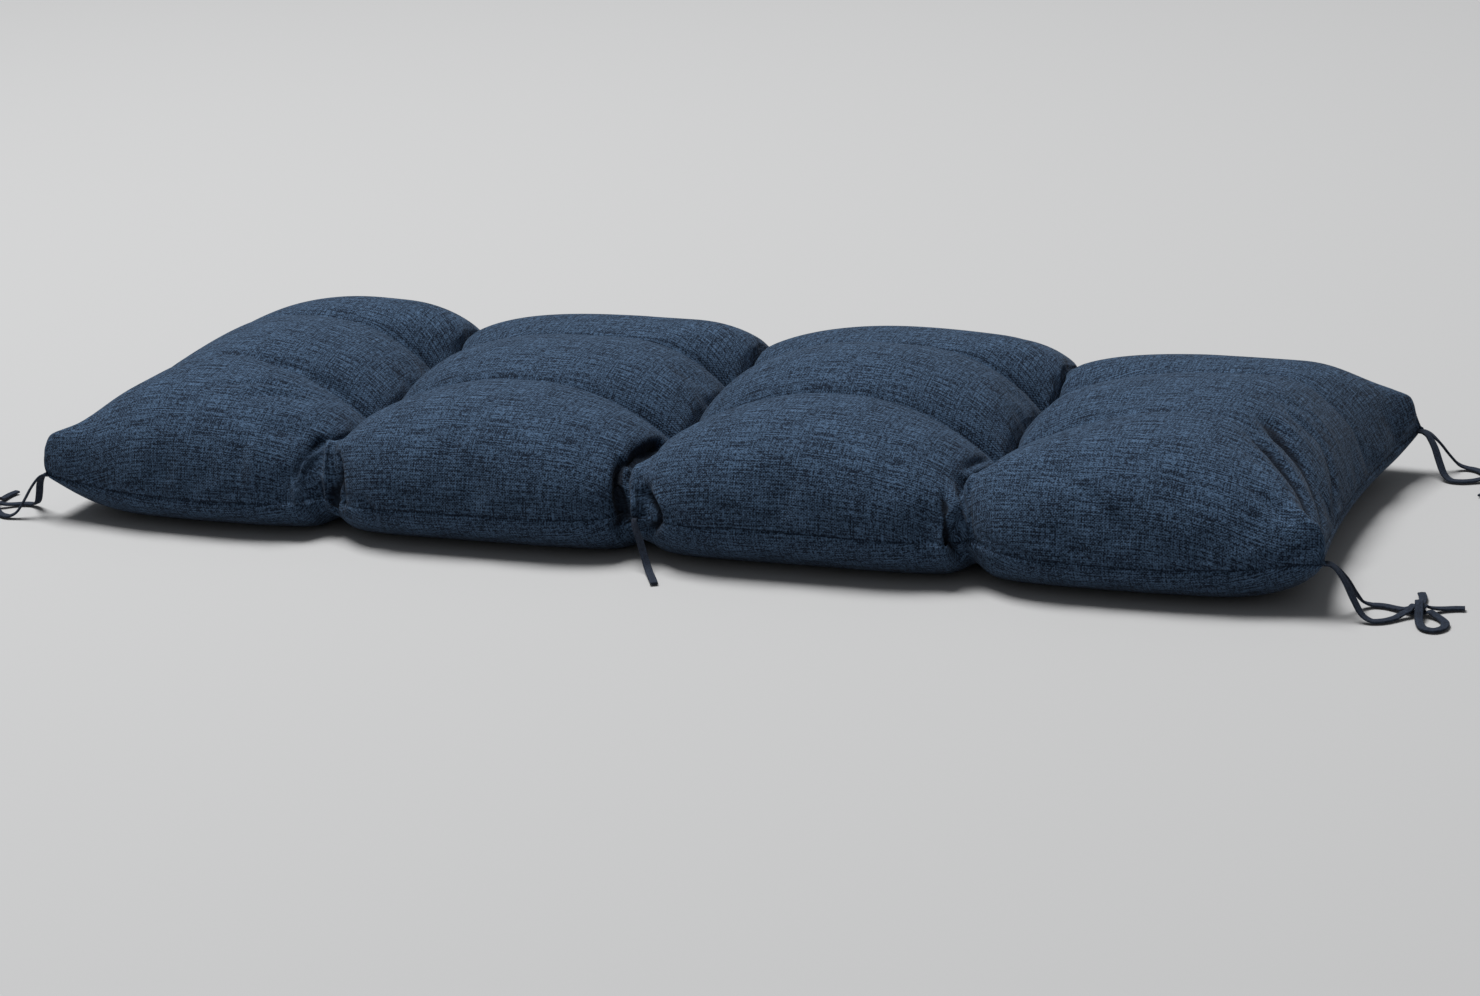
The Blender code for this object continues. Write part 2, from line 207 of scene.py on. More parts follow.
def past_lines(a, b):
    """How far past each line of tufts a point is: a - swing * hump on a * hump on b - line."""
    swing, at, width = np.array(SWINGS).T
    pull = swing * bump(a[:, None] - np.array(TUFT_LINES), SWING_REACH) * bump(b[:, None] - at, width)
    return (a - pull.sum(axis=1))[:, None] - np.array(TUFT_LINES)


def past_nearest(a, b):
    """How far a point is past its nearest line, below 0 on the wall to the left of the valley."""
    past = past_lines(a, b)
    return past[np.arange(len(a)), np.argmin(np.abs(past), axis=1)]

# %% Heights of the puffs
# by row, how far the left and the right side of a puff reach
LEFT_SIDES, RIGHT_SIDES = (0.175, 0.175, 0.180), (0.175, 0.160, 0.085)
SIDE_POWER = 2.1
# by column, the share of the crown that the front and the back crease take
CREASES = ((0.035, 0.090), (0.110, 0.120), (0.130, 0.120), (0.030, 0.080))
NOSE_REACH, NOSE_RISE = 0.045, 0.012


def column_fill(a, b):
    """How far a puff has risen, 0 on a line of tufts and 1 in mid column."""
    past = past_lines(a, b)
    from_left = np.min(np.where(past >= 0, past, LENGTH), axis=1)
    from_right = np.min(np.where(past < 0, -past, LENGTH), axis=1)
    left = fill(from_left, between(b, ROW_MIDDLES, LEFT_SIDES), SIDE_POWER)
    right = fill(from_right, between(b, ROW_MIDDLES, RIGHT_SIDES), SIDE_POWER)
    return np.minimum(left, right)


def crease_depth(a, b):
    """How much of the crown the nearer crease between two rows takes away."""
    front = between(a, COLUMN_MIDDLES, [row[0] for row in CREASES])
    back = between(a, COLUMN_MIDDLES, [row[1] for row in CREASES])
    return between(b, TUFT_ROWS, np.stack([front, back], axis=1))


def crown_height(a, b):
    """The crown of the puffs, blended from one puff to the next."""
    crowns = np.array(COLUMNS)[:, 2:].T
    in_rows = [between(a, COLUMN_MIDDLES, row) for row in crowns]
    return between(b, ROW_MIDDLES, np.stack(in_rows, axis=1))


def nose_height(a, b):
    """The blunt noses above the sewn corners: humps round each corner, nothing at the seam."""
    from_end, from_edge = to_rim(a, b)
    noses = 0.0
    for side_x, side_y, _, _, _, nose in CORNERS:
        noses = noses + np.where((side_x * a > 0) & (side_y * b > 0), nose, 0.0)
    reach = bump(np.hypot(from_end, from_edge), NOSE_REACH)
    return noses * reach * fill(np.minimum(from_end, from_edge), NOSE_RISE)

# %% The two panels
# by row, how far the rounding of the ends reaches
LEFT_ROUNDS, RIGHT_ROUNDS = (0.150, 0.215, 0.230), (0.190, 0.150, 0.110)
PUFF_FRONT, EDGE_ROUND, EDGE_POWER = 0.078, 0.110, 2.2
VALLEY, VALLEY_RISES = 0.045, (0.035, 0.035, 0.062)  # the lowest floor, and its rise in each row
CREASE_AT_LINE = 0.30  # share of the crown that a crease takes away beside a line of tufts
NOSE_LEAN = 0.20  # how far a nose leans out over its corner, as a share of its height
UNDER_END, UNDER_EDGE, UNDER_POWER = 0.110, 0.067, 1.9
GROOVE, GROOVE_AT_EDGE, GROOVE_AT_TUFT = 0.004, 0.018, 0.008  # under the lines of tufts
GROOVE_WIDTH, TUFT_REACH = 0.016, 0.030


def top_point(a, b):
    """The upper panel: seam + (puff height - seam) * rounding of the edges + noses."""
    x, y = outline(a, b)
    from_end, from_edge = to_rim(a, b)
    end_round = between(b, ROW_MIDDLES, np.where(a[:, None] < 0, LEFT_ROUNDS, RIGHT_ROUNDS))
    column = column_fill(a, b)
    row = fill(nearest(b, TUFT_ROWS), PUFF_FRONT)
    near_end = np.clip(from_end / end_round, 0, 1)
    crease = (crease_depth(a, b) * near_end + CREASE_AT_LINE * (1 - column)) * (1 - row)
    floor = VALLEY + between(b, ROW_MIDDLES, VALLEY_RISES) * row
    height = floor + (crown_height(a, b) * (1 - crease) - floor) * column
    edge = fill(from_end, end_round) * fill(from_edge, EDGE_ROUND, EDGE_POWER)
    seam, nose = seam_height(a, b), nose_height(a, b)
    z = seam + (height - seam) * edge + nose
    return np.stack([x + np.sign(a) * NOSE_LEAN * nose, y, z], axis=1)


def under_point(a, b):
    """The lower panel: seam * (1 - flat) + the grooves under the lines of tufts * flat."""
    x, y = outline(a, b)
    from_end, from_edge = to_rim(a, b)
    flat = fill(from_end, UNDER_END) * fill(from_edge, UNDER_EDGE, UNDER_POWER)
    groove = GROOVE + GROOVE_AT_EDGE * np.abs(b / (DEPTH / 2)) ** BELLY
    groove = groove + GROOVE_AT_TUFT * bump(nearest(b, TUFT_ROWS), TUFT_REACH)
    z = seam_height(a, b) * (1 - flat) + groove * bump(nearest(a, TUFT_LINES), GROOVE_WIDTH) * flat
    return np.stack([x, y, z], axis=1)


middle_crowns = top_point(np.array(COLUMN_MIDDLES), np.full(len(COLUMNS), ROW_MIDDLES[1]))[:, 2]
print("crowns of the middle row:", np.round(middle_crowns, 3), "m")

# %% [markdown]
# ## Ties
# Each tie is a strip of the same cloth, folded to a narrow band and stitched along both edges. It is
# limp, so it leaves the seam squarely, drops to the surface and lies there. At each corner two
# strips wind once about each other, one of them doubled into a loop: a half bow. Beveled curves
# would make round cords, so the band is a flat profile carried along the route instead.

# %% Routes of the ties
TIE_GAP, TIE_LYING = 0.0004, 0.0027  # from the seam to the tie, and a lying tie's height
TIE_SEAT, STRETCH_FROM = 0.0066, 0.015  # from the corner's tip, and where a route starts to stretch
CORNER_TIES = (
    # name, side x, side y, side of the loop, stretch of the loop and the free ends
    ("front_left", -1, -1, -1, 1.00),
    ("front_right", 1, -1, -1, 1.06),
    ("back_right", 1, 1, 1, 1.12),
    ("back_left", -1, 1, 1, 0.94),
)
FROM_SEAM = (
    # in millimetres: out from the pad, across, share of the corner's height, height where it lies
    (0, 2.8, 1, 2.7), (5, 2.8, 0.99, 2.7), (12, 4, 0.9, 2.7), (20, 8, 0.68, 2.7),
    (28, 14, 0.36, 2.7), (36, 19, 0.1, 2.7), (46, 22, 0, 2.7), (57, 20, 0, 2.7),
)
BOW_ROUTE = (
    *FROM_SEAM,
    (67, 14, 0, 3.2), (74, 8.2, 0, 5.2), (80, 4.2, 0, 7.2), (85, 0, 0, 10.7), (90, -4.1, 0, 6.7),
    (95, 0, 0, 2.8), (100, 4.2, 0, 6), (105.5, 9.2, 0, 4), (111, 16.5, 0, 2.8), (114.5, 27, 0, 2.7),
    (112, 38, 0, 2.7), (103.5, 44, 0, 2.7), (94.5, 40, 0, 2.7), (90.5, 30, 0, 2.7),
    (89.5, 20.5, 0, 4.5), (89.8, 11, 0, 10.5), (90, 0, 0, 14.8), (90.2, -11, 0, 10.5),
    (91.2, -20.5, 0, 4.5), (93.5, -31, 0, 2.7), (94.5, -42, 0, 2.7), (93, -53, 0, 2.7),
)
END_ROUTE = (
    *((out, -across, share, lying) for out, across, share, lying in FROM_SEAM),
    (67, -14, 0, 2.9), (74, -8.2, 0, 4), (80, -4.2, 0, 6), (85, 0, 0, 2.8), (90, 4.1, 0, 6.7),
    (95, 0, 0, 10.7), (100, -4.2, 0, 7.2), (106, -8.5, 0, 4.5), (114, -12, 0, 3),
    (124, -14, 0, 2.7), (134, -14, 0, 2.7),
)
FRONT_TIE_LINE, FRONT_TIE_SEAT = 1, 0.0062  # its line of tufts, and how far beside it
FRONT_TIE_ROUTE = (
    # in millimetres: move on x, move on y, share of the seam's height, height where it lies
    (0, 0, 1, 2.7), (0.5, -4, 0.99, 2.7), (3, -7, 0.84, 2.7), (7.8, -10, 0.62, 2.7),
    (13.5, -14.5, 0.33, 2.7), (19.5, -20.5, 0.09, 2.7), (25.5, -29, 0, 2.7), (31.2, -38.2, 0, 2.7),
    (36.6, -47.2, 0, 2.7), (41.6, -56, 0, 2.7),
)


def in_metres(table):
    """The columns of a route, with the lengths in metres."""
    return (np.array(table) / (1000, 1000, 1, 1000)).T


def corner_route(table, side_x, side_y, loop_side, stretch):
    """Seat + out * (away from the pad) + across * (along the end seam), dropping to the surface."""
    out, across, lift, rest = in_metres(table)
    spare = np.clip(np.abs(across) - STRETCH_FROM, 0, None)
    across = loop_side * (across + np.sign(across) * spare * (stretch - 1))
    reach = np.array([0.0, 2 * TIE_SEAT])
    corner, along = under_point(np.full(2, side_x * LENGTH / 2), side_y * (DEPTH / 2 - reach))
    seat = (corner + along) / 2
    back = (along - corner)[:2] * -side_y
    back = back / np.hypot(*back)
    away = side_x * np.array([back[1], -back[0]])
    plan = seat[:2] + (out[:, None] + TIE_GAP) * away + across[:, None] * back
    return np.column_stack([plan, rest + lift * (seat[2] - rest)])


def front_route():
    """The middle tie's route, from the gathered seam down to the surface and forwards."""
    move_x, move_y, lift, rest = in_metres(FRONT_TIE_ROUTE)
    line = np.array([TUFT_LINES[FRONT_TIE_LINE] + FRONT_TIE_SEAT])
    seat = under_point(line, np.array([-DEPTH / 2]))[0]
    x, y = seat[0] + move_x, seat[1] - TIE_GAP + move_y
    return np.stack([x, y, rest + lift * (seat[2] - rest)], axis=1)

# %% A smooth line through given points
def smooth_path(route, steps, lowest=TIE_LYING):
    """A curve through the points, each span bent by its neighbours (a Catmull-Rom cubic)."""
    route = np.asarray(route, float)
    ends = np.concatenate([2 * route[:1] - route[1:2], route, 2 * route[-1:] - route[-2:-1]])
    before, start, end, after = ends[:-3], ends[1:-2], ends[2:-1], ends[3:]
    first, second = end - before, 2 * before - 5 * start + 4 * end - after
    third = 3 * start - 3 * end + after - before
    spans = [0.5 * (2 * start + first * t + second * t ** 2 + third * t ** 3)
             for t in np.arange(steps) / steps]
    path = np.concatenate([np.stack(spans, axis=1).reshape(-1, 3), route[-1:]])
    path[:, 2] = np.maximum(path[:, 2], lowest)
    return path


def lengths_along(points, axis=0):
    """The distance travelled from the first point of a path, or of each line of a grid, to the others."""
    steps = np.linalg.norm(np.diff(points, axis=axis), axis=-1)
    return np.insert(np.cumsum(steps, axis=axis), 0, 0.0, axis=axis)

# %% The folded band
BAND_WIDTH, BAND_AT_SEAM, BAND_THICK = 0.0084, 0.0050, 0.0030
SEAM_TO_FULL = 0.022  # how far from the seam the gathered strip reaches its full width
BAND_TURNS = 24  # points round the band
STITCH_INSET = 0.22  # from each edge to its row of stitches, as a share of the width
BAND_STEPS = 6  # points to each span of a route
EDGE_ROUNDING, FACE_ROUNDING = 0.55, 0.75  # powers below 1 square the band's section
PINCH, PINCH_WIDTH = 0.22, 0.13  # of a row of stitches, as shares of half the band
ABOVE_FLOOR = 0.0003


def band_profile():
    """Round the band: a flattened rounded square, pinched a little at the two rows of stitches."""
    turn = np.linspace(0, 2 * math.pi, BAND_TURNS, endpoint=False)
    across = np.sign(np.cos(turn)) * np.abs(np.cos(turn)) ** EDGE_ROUNDING
    thick = np.sign(np.sin(turn)) * np.abs(np.sin(turn)) ** FACE_ROUNDING
    pinch = 1 - PINCH * bump(np.abs(across) - (1 - 2 * STITCH_INSET), PINCH_WIDTH)
    return across, thick * pinch


def band_points(path):
    """The profile carried along the path: point + side * across + normal * thick."""
    ahead = np.gradient(path, axis=0)
    ahead /= np.linalg.norm(ahead, axis=1, keepdims=True)
    side = np.cross([0.0, 0.0, 1.0], ahead)
    side /= np.linalg.norm(side, axis=1, keepdims=True)
    normal = np.cross(ahead, side)
    gone = lengths_along(path)
    swell = np.clip(gone / SEAM_TO_FULL, 0, 1)
    width = BAND_AT_SEAM + (BAND_WIDTH - BAND_AT_SEAM) * swell * swell * (3 - 2 * swell)
    across, thick = band_profile()
    offset = side[:, None] * (width[:, None, None] / 2 * across[None, :, None])
    offset = offset + normal[:, None] * (BAND_THICK / 2 * thick[None, :, None])
    points = path[:, None] + offset
    points[..., 2] = np.maximum(points[..., 2], ABOVE_FLOOR)
    return points, gone, across

# %% Grids into meshes
def grid_faces(count_i, count_j, closed_j=False):
    """The corners of every cell of a grid of points numbered i * count_j + j."""
    cells_j = count_j if closed_j else count_j - 1
    i, j = np.meshgrid(np.arange(count_i - 1), np.arange(cells_j), indexing="ij")
    next_j = (j + 1) % count_j
    cells = [i * count_j + j, (i + 1) * count_j + j, (i + 1) * count_j + next_j, i * count_j + next_j]
    return np.stack(cells, axis=-1).reshape(-1, 4)


def new_piece(name, points, faces, cloth=None):
    """A mesh object from arrays, smooth, with a UV map in metres if the cloth's lay is given."""
    mesh = bpy.data.meshes.new(name)
    points = np.asarray(points).reshape(-1, 3).tolist()
    mesh.from_pydata(points, [], [list(map(int, face)) for face in faces])
    if cloth is not None:
        layer = mesh.uv_layers.new(name="cloth")
        layer.data.foreach_set("uv", np.asarray(cloth, np.float32).ravel())
    mesh.shade_smooth()
    mesh.validate()
    piece = bpy.data.objects.new(name, mesh)
    scene.collection.objects.link(piece)
    return piece

# %% Build the ties
TIE_INTO_SEAM, FIRST_STEP = 0.003, 0.005  # into its seam, and from there to a route's second point


def build_band(name, route):
    """One tie: the band along its route, with closed ends."""
    whole = np.concatenate([route[:1] - (route[1:2] - route[:1]) * TIE_INTO_SEAM / FIRST_STEP, route])
    path = smooth_path(whole, BAND_STEPS)
    points, gone, across = band_points(path)
    lay = np.stack(np.broadcast_arrays(gone[:, None], BAND_WIDTH / 2 * across[None, :]), axis=-1)
    ring = np.arange(BAND_TURNS)
    caps = [ring, ring[::-1] + (len(path) - 1) * BAND_TURNS]
    faces = [*grid_faces(len(path), BAND_TURNS, closed_j=True), *caps]
    piece = new_piece(name, points, faces, lay.reshape(-1, 2)[np.concatenate(faces)])
    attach(piece, "root")
    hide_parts("tie_" + name.split("_", 1)[1])
    print(f"{name}: {lengths_along(path)[-1] * 1000:.0f} mm long")
    return piece


ties = []
for corner_name, *sides in CORNER_TIES:
    for strip, table in (("_bow", BOW_ROUTE), ("_end", END_ROUTE)):
        ties.append(build_band("band_" + corner_name + strip, corner_route(table, *sides)))
ties.append(build_band("band_front_middle", front_route()))

# %% [markdown]
# ## The pad's mesh
# The real pad is two flat panels, so the mesh is two grids that share the closing seam. The lines of
# the grid are spread evenly along the curved cloth, not along the plan, and are closer at the seam
# and the tufts, where folds are narrow. The lower panel lies flat, so it has half as many lines.
# A voxel remesh would be less work, but it would lose the seam and the way the cloth lies.

# %% Lines of the grid
CELLS_ALONG, CELLS_DEEP = 220, 88
FINE = 4001  # samples of a section when its length is measured
# within this length of cloth the lines are closer by this much
LEFT_END, TUFTS, RIGHT_END = (0.020, 1.2), (0.030, 2.4), (0.045, 1.4)
FRONT_END, ROWS, BACK_END = (0.040, 1.8), (0.012, 0.8), (0.012, 1.0)
NEAR_FRONT = -0.24  # one more section through the panel, just behind the front seam


def section_lengths(places, others, along):
    """The mean length of cloth up to each place, over a few sections through the upper panel."""
    total = 0.0
    for other in others:
        fixed = np.full(len(places), other)
        points = top_point(places, fixed) if along else top_point(fixed, places)
        total = total + lengths_along(points)
    return total / len(others)


def spread_lines(half, seams, closer, others, along, cells):
    """Even steps of the sum of cloth length and extra humps at the seams, with a line on each seam."""
    angle = np.linspace(-math.pi / 2, math.pi / 2, FINE)
    places = half * np.sin(angle)
    gone = section_lengths(places, others, along)
    weight = gone.copy()
    for seam, (reach, density) in zip((-half, *seams, half), closer):
        weight = weight + density * reach * np.tanh((gone - np.interp(seam, places, gone)) / reach)
    marks = np.interp([-half, *seams, half], places, weight)
    share = np.diff(marks) / (marks[-1] - marks[0]) * cells
    counts = 2 * np.maximum(np.rint(share / 2), 2).astype(int)
    counts[np.argmax(counts)] += cells - counts.sum()
    lines = [np.array([-half])]
    for start, end, count in zip(marks[:-1], marks[1:], counts):
        lines.append(np.interp(np.linspace(start, end, count + 1)[1:], weight, places))
    return np.concatenate(lines), np.concatenate([[0], np.cumsum(counts)])


lines_along, line_marks = spread_lines(
    LENGTH / 2, TUFT_LINES, (LEFT_END, TUFTS, TUFTS, TUFTS, RIGHT_END),
    (NEAR_FRONT, *ROW_MIDDLES), True, CELLS_ALONG)
lines_deep, row_marks = spread_lines(
    DEPTH / 2, TUFT_ROWS, (FRONT_END, ROWS, ROWS, BACK_END), COLUMN_MIDDLES, False, CELLS_DEEP)
print("cells in the columns:", np.diff(line_marks), "and in the rows:", np.diff(row_marks))

# %% [markdown]
# ### Puffs that press on each other
# The filled columns touch. Each wall beside a line of tufts is moved towards the line, most of all
# low down, until the two walls meet in a tight crease. Only the rounded shoulders part again. A
# simulation with collisions would find the crease too, but in many minutes.

# %% Press the columns together
PRESS, PRESS_REACH = 0.010, 0.024
WALL_GAP, WALL_OPENING = 0.0004, 0.05  # the least gap, and how it opens away from the line
PRESS_FRONT, PRESS_FADE = -0.232, 0.005  # the walls part again in front, where the edge is gathered


def pressed_top(a, b):
    """The upper panel with its walls moved towards their line of tufts: their distance from it less
    PRESS * e^(-distance / reach), but never below the gap."""
    points, side = top_point(a, b), past_nearest(a, b)
    away = np.abs(side)
    fade = 1 / (1 + np.exp(-(b - PRESS_FRONT) / PRESS_FADE))
    closer = away - PRESS * np.exp(-away / PRESS_REACH) * fade
    least = np.minimum(away, WALL_GAP + WALL_OPENING * away)
    points[:, 0] += np.sign(side) * (np.maximum(closer, least) - away)
    return points

# %% [markdown]
# ### How the cloth lies
# A weave has to follow the cloth, so every point gets two lengths of cloth in metres: along the pad
# from the middle of its column, and from front to back from the middle row. They become a UV map.
# An automatic unwrap would stretch or turn the threads from puff to puff.

# %% Panels with their cloth lengths
def panel(point_of, a_lines, b_lines):
    """The points of a panel as a grid, with the cloth lengths along and across it."""
    a, b = np.meshgrid(a_lines, b_lines, indexing="ij")
    points = point_of(a.ravel(), b.ravel()).reshape(*a.shape, 3)
    lengths = {"along": lengths_along(points, 0), "deep": lengths_along(points, 1)}
    return {"a": a, "b": b, "points": points, **lengths}


def cloth_lay(made, marks):
    """For each cell the cloth lengths at its four corners, counted from the middle of its column."""
    count_i, count_j = made["a"].shape
    faces = grid_faces(count_i, count_j)
    column = np.searchsorted(marks, faces[:, 0] // count_j, side="right") - 1
    middles = (marks[:-1] + marks[1:]) // 2
    middle_along = made["along"][middles][column[:, None], faces % count_j]
    from_middle = made["along"].ravel()[faces] - middle_along
    middle_row = int(np.argmin(np.abs(made["b"][0])))
    deep = made["deep"] - made["deep"][:, middle_row:middle_row + 1]
    return faces, np.stack([from_middle, deep.ravel()[faces]], axis=-1)


def from_seam(made):
    """The length of cloth from each point to the nearest part of the closing seam."""
    ends = np.minimum(made["along"], made["along"][-1:] - made["along"])
    edges = np.minimum(made["deep"], made["deep"][:, -1:] - made["deep"])
    return np.minimum(ends, edges)


upper = panel(pressed_top, lines_along, lines_deep)
lower = panel(under_point, lines_along[::2], lines_deep[::2])
upper_faces, upper_lay = cloth_lay(upper, line_marks)
lower_faces, lower_lay = cloth_lay(lower, line_marks // 2)
print(f"cloth over the crowns: {upper['along'].max():.2f} m by {upper['deep'].max():.2f} m")

# %% Weld the panels along the seam
def weld_panels():
    """Both panels as one: the lower one's rim uses the upper one's points. A cell on the rim takes in
    the upper panel's point between its own two, halfway along that side."""
    top_i, top_j = upper["a"].shape
    low_i, low_j = lower["a"].shape
    top_number = np.arange(top_i * top_j).reshape(top_i, top_j)
    number = np.full((low_i, low_j), -1)
    number[[0, -1]] = top_number[[0, -1], ::2]
    number[:, [0, -1]] = top_number[::2, [0, -1]]
    inside = number < 0
    number[inside] = top_i * top_j + np.arange(inside.sum())
    points = np.concatenate([upper["points"].reshape(-1, 3), lower["points"][inside]])
    place = np.concatenate([
        np.stack([upper["a"].ravel(), upper["b"].ravel(), from_seam(upper).ravel()], axis=1),
        np.stack([lower["a"][inside], lower["b"][inside], -from_seam(lower)[inside]], axis=1)])
    flipped = lower_faces[:, ::-1]
    i, j = flipped // low_j, flipped % low_j
    next_i, next_j = np.roll(i, -1, axis=1), np.roll(j, -1, axis=1)
    on_end = (i == next_i) & np.isin(i, (0, low_i - 1))
    on_edge = (j == next_j) & np.isin(j, (0, low_j - 1))
    rings = np.empty((len(flipped), 8), int)
    rings[:, 0::2] = number[i, j]
    rings[:, 1::2] = np.where(on_end | on_edge, top_number[i + next_i, j + next_j], -1)
    corner_lay = lower_lay[:, ::-1]
    lay = np.empty((len(flipped), 8, 2))
    lay[:, 0::2] = corner_lay
    lay[:, 1::2] = (corner_lay + np.roll(corner_lay, -1, axis=1)) / 2
    faces = upper_faces.tolist() + [ring[ring >= 0].tolist() for ring in rings]
    return points, place, faces, np.concatenate([upper_lay.reshape(-1, 2), lay[rings >= 0]])


pad_points, pad_place, pad_faces, pad_lay = weld_panels()
pad = new_piece("navy_pad", pad_points, pad_faces, pad_lay)
place_layer = pad.data.attributes.new("place", "FLOAT_VECTOR", "POINT")
place_layer.data.foreach_set("vector", pad_place.astype(np.float32).ravel())
print(len(pad_points), "points,", len(pad_faces), "faces")

# %% [markdown]
# ## Filling the pad
# Fibre presses the cloth outwards from inside, and the seams and tufts hold it back. Blender's Cloth
# does the same with its pressure. It starts from a pad that is a little too slim, swells for twenty
# frames, and then no point may have moved further than a small cap, so the measured form stays.
# The cloth is also cut a little larger than the form, and that spare cloth is what puckers into the
# soft folds of a real pad.

# %% Points and normals of a mesh
def vectors(items, name):
    """One vector from each item of a mesh, as an array."""
    values = np.empty(len(items) * 3, np.float32)
    items.foreach_get(name, values)
    return values.reshape(-1, 3).astype(float)


def set_points(mesh, points):
    """Put the points into the mesh, and give back Blender's normals at them."""
    mesh.vertices.foreach_set("co", np.asarray(points, np.float32).ravel())
    mesh.update()
    return vectors(mesh.vertex_normals, "vector")

# %% Swell the pad
PRESSURE, FILL_FRAMES, MOVE_CAP, SLIMMER = 4.0, 20, 0.012, 0.004
SPARE_CLOTH = -0.020  # negative shrink cuts the cloth larger than the form
SEAM_HOLD, TUFT_HOLD, VALLEY_HOLD = 0.0005, 0.014, 0.0035
HOLD_STEPS = 10  # the held share is rounded to a tenth
TINY = 1e-9  # keeps a point that hasn't moved from dividing by nothing
CLOTH = {
    "quality": 6, "mass": 0.3, "tension_stiffness": 30, "compression_stiffness": 30,
    "shear_stiffness": 12, "bending_stiffness": 0.4, "air_damping": 2.0, "vertex_group_mass": "held",
    "pin_stiffness": 1.0, "shrink_min": SPARE_CLOTH, "use_pressure": True,
    "uniform_pressure_force": PRESSURE,
}


def hold_weights(place):
    """1 where the cloth is held: the lower panel, the seam, the tufts and the floors of the valleys."""
    a, b, seam = place.T
    held = (seam <= SEAM_HOLD).astype(float)
    from_line = nearest(a, TUFT_LINES)
    tuft = bump(np.hypot(from_line, nearest(b, TUFT_ROWS)), TUFT_HOLD)
    valley = bump(from_line, VALLEY_HOLD)
    return np.maximum(held, np.maximum(tuft, valley))


def swell(piece, place):
    """Cloth with pressure on the slimmer pad, then every move capped at MOVE_CAP."""
    mesh = piece.data
    start = vectors(mesh.vertices, "co")
    weights = hold_weights(place)
    slim = start - set_points(mesh, start) * (SLIMMER * (1 - weights))[:, None]
    set_points(mesh, slim)
    group = piece.vertex_groups.new(name="held")
    for level in np.linspace(1 / HOLD_STEPS, 1, HOLD_STEPS):
        chosen = np.nonzero(np.abs(weights - level) <= 0.5 / HOLD_STEPS)[0]
        group.add(chosen.tolist(), float(level), "REPLACE")
    cloth = piece.modifiers.new("fill", "CLOTH")
    for name, value in CLOTH.items():
        setattr(cloth.settings, name, value)
    cloth.settings.effector_weights.gravity = 0.0
    cloth.point_cache.frame_start, cloth.point_cache.frame_end = 1, FILL_FRAMES
    for step in range(1, FILL_FRAMES + 1):
        scene.frame_set(step)
    filled = piece.evaluated_get(bpy.context.evaluated_depsgraph_get())
    ended = vectors(filled.data.vertices, "co")
    piece.modifiers.remove(cloth)
    scene.frame_set(1)
    move = ended - start
    far = np.linalg.norm(move, axis=1, keepdims=True) + TINY
    set_points(mesh, start + move * MOVE_CAP * np.tanh(far / MOVE_CAP) / far)
    print(f"the cloth moved {far.mean() * 1000:.1f} mm on average, {far.max() * 1000:.1f} mm at most")


swell(pad, pad_place)

# %% Subdivide once
def subdivide(piece):
    """One Catmull-Clark subdivision, applied, so that the folds can be placed on the finer mesh."""
    finer = piece.modifiers.new("finer", "SUBSURF")
    finer.levels = finer.render_levels = 1
    depsgraph = bpy.context.evaluated_depsgraph_get()
    mesh = bpy.data.meshes.new_from_object(
        piece.evaluated_get(depsgraph), preserve_all_data_layers=True, depsgraph=depsgraph)
    piece.modifiers.remove(finer)
    coarse, piece.data = piece.data, mesh
    bpy.data.meshes.remove(coarse)
    mesh.name = piece.name
    mesh.shade_smooth()


subdivide(pad)
place = vectors(pad.data.attributes["place"].data, "vector")
print(len(pad.data.vertices), "points after the subdivision")
